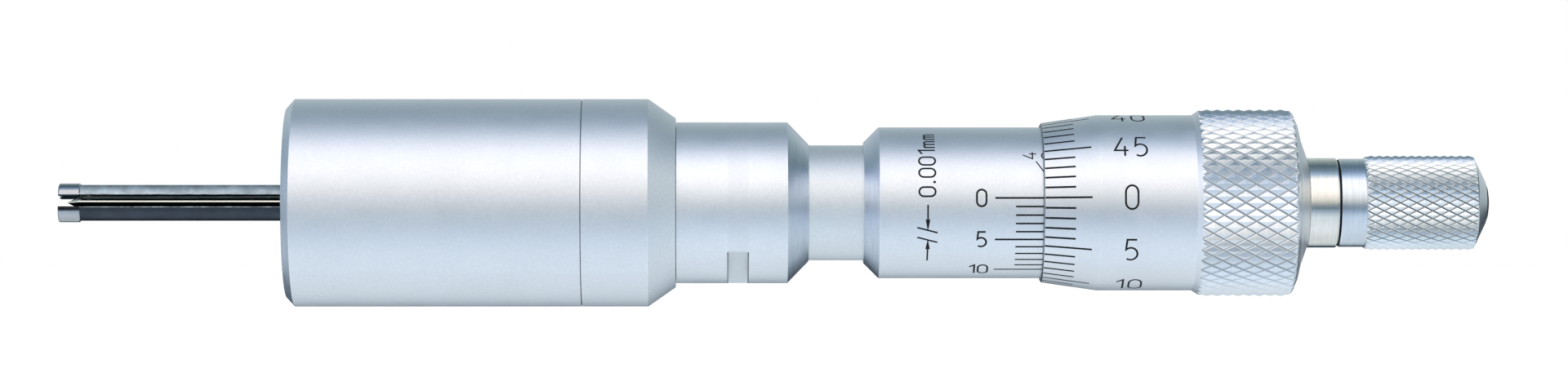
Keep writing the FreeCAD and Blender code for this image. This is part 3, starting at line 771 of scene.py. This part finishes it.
class Engraving:
    """Filled strokes laid on a turned surface, each a thin closed slab."""

    def __init__(self, surface):
        self.surface = surface
        self.shape = Shape()

    def point(self, x, a, height):
        return self.shape.add(place(x, self.surface(x) + height, a))

    def slab(self, strip, closed=False):
        """strip: pairs of (station, degrees) down the two sides of a stroke."""
        rows = []
        for left, right in strip:
            rows.append([self.point(*left, PROUD), self.point(*right, PROUD),
                         self.point(*right, -SUNK), self.point(*left, -SUNK)])
        pairs = list(zip(rows, rows[1:]))
        if closed:
            pairs.append((rows[-1], rows[0]))
        for one, two in pairs:
            for k in range(4):
                m = (k + 1) % 4
                self.shape.faces.append((one[k], one[m], two[m], two[k]))
        if not closed:
            self.shape.faces.append(tuple(reversed(rows[0])))
            self.shape.faces.append(tuple(rows[-1]))

    def stroke(self, points, width, to_surface, closed=False):
        """points in mm on the unrolled surface; to_surface turns one into (station, degrees)."""
        fine = divide([Vector(p) for p in points], LONGEST_SPAN, closed)
        count = len(fine)
        strip = []
        for i, p in enumerate(fine):
            before = fine[i - 1] if (i > 0 or closed) else None
            after = fine[(i + 1) % count] if (i < count - 1 or closed) else None
            d0 = (p - before).normalized() if before is not None else (after - p).normalized()
            d1 = (after - p).normalized() if after is not None else d0
            along = d0 + d1
            if along.length < TINY:
                along = d1
            along.normalize()
            normal = Vector((-along.y, along.x))
            spread = width / 2 / max(MITRE_LIMIT, normal.dot(Vector((-d1.y, d1.x))))
            strip.append((to_surface(p + normal * spread), to_surface(p - normal * spread)))
        self.slab(strip, closed)

    def line(self, x0, x1, degrees, width, spans=4):
        """A line along the axis, of even width on a cone too."""
        half = math.degrees(width / 2 / self.surface(x0))
        half_end = math.degrees(width / 2 / self.surface(x1))
        strip = []
        for k in range(spans + 1):
            x = x0 + (x1 - x0) * k / spans
            h = half + (half_end - half) * k / spans
            strip.append(((x, degrees + h), (x, degrees - h)))
        self.slab(strip)

    def patch(self, corners):
        """A filled polygon of (station, degrees)."""
        top = [self.point(x, a, PROUD) for x, a in corners]
        low = [self.point(x, a, -SUNK) for x, a in corners]
        self.shape.faces.append(tuple(top))
        self.shape.faces.append(tuple(reversed(low)))
        n = len(corners)
        for i in range(n):
            j = (i + 1) % n
            self.shape.faces.append((top[i], low[i], low[j], top[j]))

    def bar(self, x0, a0, x1, a1, width):
        """A straight stroke between two places given by station and degrees."""
        along = math.degrees(1.0 / self.surface(x0))
        self.stroke([(x0, a0 / along), (x1, a1 / along)], width, lambda p: (p[0], p[1] * along))

    def arrow_head(self, tip, base, half_width, steps=6):
        """A filled arrow head along the sleeve's turn, given by the angles of its tip and its base."""
        strip = []
        for k in range(steps + 1):
            half = half_width * (1.0 - ARROW_TAPER * k / steps)
            a = base + (tip - base) * k / steps
            strip.append(((MARK - half, a), (MARK + half, a)))
        self.slab(strip)

    def write(self, text, station, degrees, height, width, gap=0.26, upright=True, wide=1.0, centred=True):
        """Put figures on the surface: upright ones read along +X, the others read upwards."""
        cells = []
        cursor = 0.0
        for char in text:
            cells.append((char, cursor))
            w = POINT_WIDTH if char == "." else glyph(char)[1] * wide
            cursor += (w + gap) * height
        length = cursor - gap * height
        shift = -length / 2 if centred else 0.0
        along = math.degrees(1.0 / self.surface(station))

        def to_surface(p):
            if upright:
                return station + p[0], degrees + (p[1] - height / 2) * along
            return station - (p[1] - height / 2), degrees + p[0] * along

        for char, at in cells:
            if char == ".":
                centre = Vector((at + shift + POINT_WIDTH / 2 * height, 0.06 * height))
                turns = [k * TAU / POINT_SIDES for k in range(POINT_SIDES)]
                self.patch([to_surface(centre + Vector((math.cos(t), math.sin(t))) * width * 0.75)
                            for t in turns])
                continue
            for points, closed in glyph(char)[0]:
                moved = [(x * height * wide + at + shift, y * height) for x, y in points]
                self.stroke(moved, width, to_surface, closed)


def divide(points, longest, closed):
    """More points along a line, so that no span is longer than asked."""
    out = []
    count = len(points)
    for i in range(count if closed else count - 1):
        a, b = points[i], points[(i + 1) % count]
        n = max(1, int(math.ceil((b - a).length / longest)))
        out.extend(a.lerp(b, k / n) for k in range(n))
    if not closed:
        out.append(points[-1])
    return out


def arc(cx, cy, rx, ry, start, end, steps=8):
    out = []
    for k in range(steps + 1):
        t = math.radians(start + (end - start) * k / steps)
        out.append((cx + rx * math.cos(t), cy + ry * math.sin(t)))
    return out


def glyph(char):
    """Strokes of a plain engraved figure in a cell 1 high; returns strokes and the cell's width."""
    if char == "0":
        w, e = 0.57, 0.285
        loop = arc(e, 1 - e, e, e, 0, 180, 10) + arc(e, e, e, e, 180, 360, 10)
        return [(loop, True)], w
    if char == "1":
        return [([(0.0, 0.80), (0.30, 1.0), (0.30, 0.0)], False)], 0.30
    if char == "2":
        return [(arc(0.29, 0.71, 0.29, 0.29, 165, -20, 9) + [(0.0, 0.0), (0.60, 0.0)], False)], 0.60
    if char == "3":
        top = arc(0.27, 0.76, 0.25, 0.24, 150, -80, 8)
        low = arc(0.27, 0.27, 0.30, 0.27, 80, -150, 9)
        return [(top + low, False)], 0.58
    if char == "4":
        slope = [(0.36, 1.0), (0.0, 0.28), (0.62, 0.28)]
        return [(slope, False), ([(0.46, 0.52), (0.46, 0.0)], False)], 0.62
    if char == "5":
        bowl = arc(0.27, 0.31, 0.31, 0.31, 118, -125, 12)
        return [([(0.54, 1.0), (0.10, 1.0), (0.05, 0.52)] + bowl, False)], 0.58
    if char == "m":
        h = 0.66
        stem = [(0.0, 0.0), (0.0, h)]
        one = [(0.0, h - 0.20)] + arc(0.14, h - 0.14, 0.14, 0.14, 160, 0, 6) + [(0.28, 0.0)]
        two = [(0.28, h - 0.20)] + arc(0.42, h - 0.14, 0.14, 0.14, 160, 0, 6) + [(0.56, 0.0)]
        return [(stem, False), (one, False), (two, False)], 0.56
    raise ValueError("no strokes for " + char)


def sleeve_scale():
    """Vernier lines and figures, the unit with its arrows, and the range label."""
    e = Engraving(sleeve_surface)
    for k in range(11):
        start, width = (VERNIER_LONG, SLEEVE_STROKE) if k % 5 == 0 else (VERNIER_SHORT, SHORT_STROKE)
        e.line(start, VERNIER_END, INDEX_DEG - VERNIER_STEP_DEG * k, width)
    e.write("0", SLEEVE_FIGURES_AT, INDEX_DEG, SLEEVE_FIGURE, SLEEVE_STROKE)
    e.write("5", SLEEVE_FIGURES_AT, INDEX_DEG - 5 * VERNIER_STEP_DEG, SLEEVE_FIGURE, SLEEVE_STROKE)
    e.write("10", SLEEVE_FIGURES_AT - 0.2, INDEX_DEG - 10 * VERNIER_STEP_DEG, SLEEVE_FIGURE, SLEEVE_STROKE,
            gap=0.22)
    e.write("0.001mm", UNIT_AT, 4.9, UNIT_FIGURE, UNIT_STROKE, gap=0.25, upright=False, centred=False)
    # The direction mark: two slashes between two arrows
    e.bar(MARK, -1.4, MARK, -13.6, ARROW_STROKE)
    e.arrow_head(-20.9, -12.6, 0.24)
    e.bar(64.40, -18.9, 66.48, -23.1, SLASH_STROKE)
    e.bar(64.41, -26.9, 66.46, -31.2, SLASH_STROKE)
    e.arrow_head(-29.2, -37.5, 0.23)
    e.bar(MARK, -36.8, MARK - 0.02, -49.3, ARROW_STROKE)
    # The range label, with the pointer from it to the index line
    e.write("4", 75.85, RANGE_DEG, RANGE_FIGURE, RANGE_STROKE, upright=False)
    e.bar(76.5, 32.8, 77.35, 23.0, 0.13)
    e.bar(77.37, 23.0, 77.37, 7.0, 0.09)
    e.write("3", 77.75, RANGE_DEG, RANGE_FIGURE, RANGE_STROKE, upright=False)
    e.shape.build("sleeve_scale", ink, body="barrel", slot="black_screw")


def thimble_scale():
    """Fifty lines and ten figures."""
    e = Engraving(thimble_surface)
    for k in range(THIMBLE_LINES):
        end = THIMBLE_LONG_END if k % 5 == 0 else THIMBLE_SHORT_END
        e.line(THIMBLE_FRONT + 0.08, end, INDEX_DEG - THIMBLE_STEP_DEG * k, THIMBLE_STROKE)
    for k in range(0, THIMBLE_LINES, 5):
        e.write(str(k), THIMBLE_FIGURES_AT, INDEX_DEG - THIMBLE_STEP_DEG * k, THIMBLE_FIGURE,
                THIMBLE_STROKE, gap=0.25, wide=0.92)
    e.shape.build("thimble_scale", ink, body="thimble", slot="black_screw")


def dress_solids():
    """Give the carried-over CAD solids their materials."""
    nodes_of = (
        (arm_lit_copy, "upper_arm"),
        (arm_shaded_copy, "lower_arm"),
        (jaw_metal, "upper_jaw"),
        (lower_jaw_shaded, "lower_jaw"),
        (needle_metal, "needle"),
        (polished, "ratchet_base"),
        (black_steel, "end_screw"),
        (satin_neck, "inner_body"),
        (inner_metal, "head_block", "clamp_ring", "upper_pivot_pin", "lower_pivot_pin", "guide_bush",
         "plunger", "adjusting_nut", "spindle", "ratchet_disc"),
        (spring_metal, "upper_leaf_spring", "lower_leaf_spring", "return_spring", "ratchet_spring"),
    )
    for material, *names in nodes_of:
        for name in names:
            mesh = bpy.data.objects[name].data
            mesh.materials.clear()
            mesh.materials.append(material)


# Floor, light and camera

def pale_floor():
    """A white floor that still takes the object's soft shadow."""
    mesh = bpy.data.meshes.new("floor")
    near, far, side = -1.2, 1.8, 1.6
    z = FLOOR_Z * MM
    corners = [(-side, near, z), (side, near, z), (side, far, z), (-side, far, z)]
    mesh.from_pydata(corners, [], [(0, 1, 2, 3)])
    floor = bpy.data.objects.new("floor", mesh)
    bpy.context.scene.collection.objects.link(floor)
    floor.visible_glossy = False
    mat = bpy.data.materials.new("pale_floor")
    mat.use_nodes = True
    nt = mat.node_tree
    nt.nodes.clear()
    out = nt.nodes.new("ShaderNodeOutputMaterial")
    diffuse = nt.nodes.new("ShaderNodeBsdfDiffuse")
    diffuse.inputs["Color"].default_value = (0.80, 0.81, 0.82, 1)
    lift = nt.nodes.new("ShaderNodeEmission")
    distance = nt.nodes.new("ShaderNodeVectorMath")
    distance.operation = "LENGTH"
    nt.links.new(nt.nodes.new("ShaderNodeTexCoord").outputs["Object"], distance.inputs[0])
    nt.links.new(ramp(nt, distance.outputs["Value"], FLOOR_LIFT), lift.inputs["Color"])
    path = nt.nodes.new("ShaderNodeLightPath")
    nt.links.new(path.outputs["Is Camera Ray"], lift.inputs["Strength"])
    both = nt.nodes.new("ShaderNodeAddShader")
    nt.links.new(diffuse.outputs[0], both.inputs[0])
    nt.links.new(lift.outputs[0], both.inputs[1])
    nt.links.new(both.outputs[0], out.inputs["Surface"])
    mesh.materials.append(mat)


def studio_world():
    """Room light by direction, with a white backdrop behind."""
    world = bpy.data.worlds.new("studio")
    bpy.context.scene.world = world
    world.use_nodes = True
    nt = world.node_tree
    nt.nodes.clear()
    out = nt.nodes.new("ShaderNodeOutputWorld")
    split = nt.nodes.new("ShaderNodeSeparateXYZ")
    nt.links.new(nt.nodes.new("ShaderNodeTexCoord").outputs["Generated"], split.inputs[0])
    front = compute(nt, "MULTIPLY", split.outputs["Y"], -1.0)
    turn = compute(nt, "ARCTAN2", split.outputs["Z"], front)
    height = ramp(nt, to_range(nt, turn, 0.0, 1.0, -math.pi, math.pi),
                  [((degrees + 180.0) / 360.0, colour) for degrees, colour in HEIGHT_LIGHT])
    across = ramp(nt, to_range(nt, split.outputs["X"], 0.0, 1.0, -1.0, 1.0),
                  [((x + 1.0) / 2.0, colour) for x, colour in ACROSS_LIGHT])
    share = to_range(nt, split.outputs["Z"], 0.25, 1.0, -0.25, 0.25)
    light = nt.nodes.new("ShaderNodeBackground")
    nt.links.new(mix_colour(nt, share, height, across, "MULTIPLY"), light.inputs["Color"])
    backdrop = nt.nodes.new("ShaderNodeBackground")
    backdrop.inputs["Color"].default_value = grey(1)
    path = nt.nodes.new("ShaderNodeLightPath")
    mix = nt.nodes.new("ShaderNodeMixShader")
    nt.links.new(path.outputs["Is Camera Ray"], mix.inputs["Fac"])
    nt.links.new(light.outputs[0], mix.inputs[1])
    nt.links.new(backdrop.outputs[0], mix.inputs[2])
    nt.links.new(mix.outputs[0], out.inputs["Surface"])


def aim(obj, location, target):
    obj.location = location
    obj.rotation_euler = (Vector(target) - Vector(location)).to_track_quat("-Z", "Y").to_euler()
    bpy.context.scene.collection.objects.link(obj)


def overhead_lamp():
    data = bpy.data.lights.new("overhead_lamp", "AREA")
    data.shape = "RECTANGLE"
    data.size, data.size_y = LAMP_SIZE
    data.energy = LAMP_WATTS
    lamp = bpy.data.objects.new("overhead_lamp", data)
    lamp.visible_glossy = False
    aim(lamp, LAMP_AT, LAMP_AIM)


def set_camera():
    data = bpy.data.cameras.new("camera")
    data.sensor_width = 36.0
    data.lens = LENS
    data.clip_start = 0.01
    data.clip_end = 10.0
    camera = bpy.data.objects.new("camera", data)
    aim(camera, ((EYE_STATION - GRIP) * MM, -EYE_DISTANCE * MM, 0.0),
        ((AIM_STATION - GRIP) * MM, 0.0, AIM_HEIGHT * MM))
    bpy.context.scene.camera = camera


front_shell()
rear_shell()
coupling_collar()
graduated_sleeve()
thimble_shell()
knob_shell()
ratchet_seal()
sleeve_scale()
thimble_scale()
dress_solids()
pale_floor()
studio_world()
overhead_lamp()
set_camera()
bpy.context.scene.view_settings.view_transform = "Standard"
